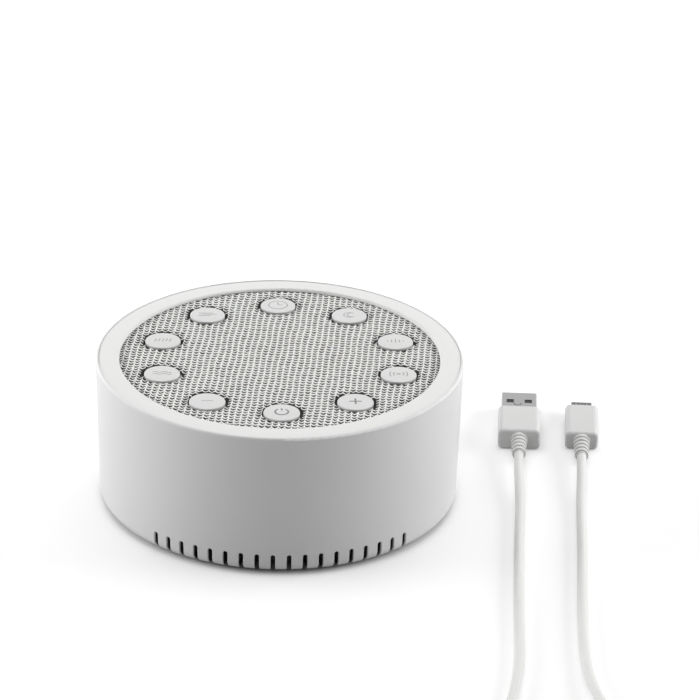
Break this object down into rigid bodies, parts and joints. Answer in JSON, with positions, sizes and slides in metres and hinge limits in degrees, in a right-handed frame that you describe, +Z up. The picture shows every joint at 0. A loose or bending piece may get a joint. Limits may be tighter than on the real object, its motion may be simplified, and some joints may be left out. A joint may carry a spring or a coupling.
{
  "type": "white noise sound machine",
  "caption": "Round tabletop sound machine with a knitted cover over an upward speaker, a ring of round keys, a vented foot edge, and a loose USB cable.",
  "frame": {"origin": "middle of the machine's footprint, on the surface that its feet stand on", "axes": "+Z up through the speaker, +X to the right, -Y towards the power key at the front, +Y towards the power socket at the back"},
  "size_m": [0.1703, 0.2652, 0.0492],
  "materials": {
    "white_shell": "satin white moulding",
    "white_ring": "glossy white moulding",
    "knit_cloth": "knitted",
    "white_keys": "matt white moulding",
    "inner_plastic": "moulded",
    "black_plastic": "moulded",
    "circuit_board": "solder mask",
    "switch_black": "moulded",
    "connector_white": "moulded",
    "screw_steel": "zinc plated",
    "plug_steel": "nickel plated",
    "pressed_steel": "black passivated",
    "ferrite": "sintered",
    "paper_cone": "pressed paper pulp",
    "rubber_black": "moulded",
    "rubber_grey": "moulded",
    "spider_cloth": "resin-stiffened weave",
    "copper_coil": "enamelled wire",
    "cable_white": "extruded sheath",
    "wire_red": "extruded sheath",
    "wire_black": "extruded sheath",
    "plug_core": "moulded"
  },
  "bodies": {
    "housing": {"outer_shell": "white_shell", "top_ring": "white_ring", "speaker_grille": "black_plastic", "speaker_cloth": "knit_cloth", "switch_bodies": "switch_black", "key_board": "circuit_board", "inner_chassis": "inner_plastic", "speaker_gasket": "rubber_black", "speaker_frame": "pressed_steel", "magnet_top_plate": "plug_steel", "speaker_magnet": "ferrite", "magnet_back_plate": "plug_steel", "speaker_surround": "rubber_black", "speaker_spider": "spider_cloth", "speaker_terminals": "black_plastic", "main_board": "circuit_board", "board_components": "black_plastic", "board_connectors": "connector_white", "usb_socket": "plug_steel", "ribbon_cable": "rubber_grey", "speaker_wire_red": "wire_red", "speaker_wire_black": "wire_black", "base_plate": "white_shell", "rubber_feet": "rubber_grey", "housing_screws": "screw_steel", "board_screws": "screw_steel", "usb_a_grip": "cable_white", "usb_a_shell": "plug_steel", "usb_a_insert": "plug_core", "micro_usb_grip": "cable_white", "micro_usb_shell": "plug_steel", "micro_usb_core": "black_plastic", "cable_lead_a": "cable_white", "cable_lead_b": "cable_white", "cable_coil": "cable_white"},
    "power_key": {"button_power": "white_keys", "switch_plunger_power": "switch_black"},
    "volume_down_key": {"button_volume_down": "white_keys", "switch_plunger_volume_down": "switch_black"},
    "sound_1_key": {"button_sound_1": "white_keys", "switch_plunger_sound_1": "switch_black"},
    "sound_2_key": {"button_sound_2": "white_keys", "switch_plunger_sound_2": "switch_black"},
    "sound_3_key": {"button_sound_3": "white_keys", "switch_plunger_sound_3": "switch_black"},
    "timer_key": {"button_timer": "white_keys", "switch_plunger_timer": "switch_black"},
    "sound_4_key": {"button_sound_4": "white_keys", "switch_plunger_sound_4": "switch_black"},
    "sound_5_key": {"button_sound_5": "white_keys", "switch_plunger_sound_5": "switch_black"},
    "sound_6_key": {"button_sound_6": "white_keys", "switch_plunger_sound_6": "switch_black"},
    "volume_up_key": {"button_volume_up": "white_keys", "switch_plunger_volume_up": "switch_black"},
    "cone_assembly": {"speaker_cone": "paper_cone", "dust_cap": "paper_cone", "voice_coil": "copper_coil"}
  },
  "joints": [
    {"name": "power_press", "type": "slide", "parent": "housing", "child": "power_key", "axis": [0, 0, -1], "range_m": [0, 0.0005], "stiffness_N_per_m": 2000, "springref_m": -0.0002},
    {"name": "volume_down_press", "type": "slide", "parent": "housing", "child": "volume_down_key", "axis": [0, 0, -1], "range_m": [0, 0.0005], "stiffness_N_per_m": 2000, "springref_m": -0.0002},
    {"name": "sound_1_press", "type": "slide", "parent": "housing", "child": "sound_1_key", "axis": [0, 0, -1], "range_m": [0, 0.0005], "stiffness_N_per_m": 2000, "springref_m": -0.0002},
    {"name": "sound_2_press", "type": "slide", "parent": "housing", "child": "sound_2_key", "axis": [0, 0, -1], "range_m": [0, 0.0005], "stiffness_N_per_m": 2000, "springref_m": -0.0002},
    {"name": "sound_3_press", "type": "slide", "parent": "housing", "child": "sound_3_key", "axis": [0, 0, -1], "range_m": [0, 0.0005], "stiffness_N_per_m": 2000, "springref_m": -0.0002},
    {"name": "timer_press", "type": "slide", "parent": "housing", "child": "timer_key", "axis": [0, 0, -1], "range_m": [0, 0.0005], "stiffness_N_per_m": 2000, "springref_m": -0.0002},
    {"name": "sound_4_press", "type": "slide", "parent": "housing", "child": "sound_4_key", "axis": [0, 0, -1], "range_m": [0, 0.0005], "stiffness_N_per_m": 2000, "springref_m": -0.0002},
    {"name": "sound_5_press", "type": "slide", "parent": "housing", "child": "sound_5_key", "axis": [0, 0, -1], "range_m": [0, 0.0005], "stiffness_N_per_m": 2000, "springref_m": -0.0002},
    {"name": "sound_6_press", "type": "slide", "parent": "housing", "child": "sound_6_key", "axis": [0, 0, -1], "range_m": [0, 0.0005], "stiffness_N_per_m": 2000, "springref_m": -0.0002},
    {"name": "volume_up_press", "type": "slide", "parent": "housing", "child": "volume_up_key", "axis": [0, 0, -1], "range_m": [0, 0.0005], "stiffness_N_per_m": 2000, "springref_m": -0.0002},
    {"name": "cone_stroke", "type": "slide", "parent": "housing", "child": "cone_assembly", "axis": [0, 0, 1], "range_m": [-0.001, 0.001], "stiffness_N_per_m": 1500, "deforming": ["speaker_surround", "speaker_spider"]}
  ]
}
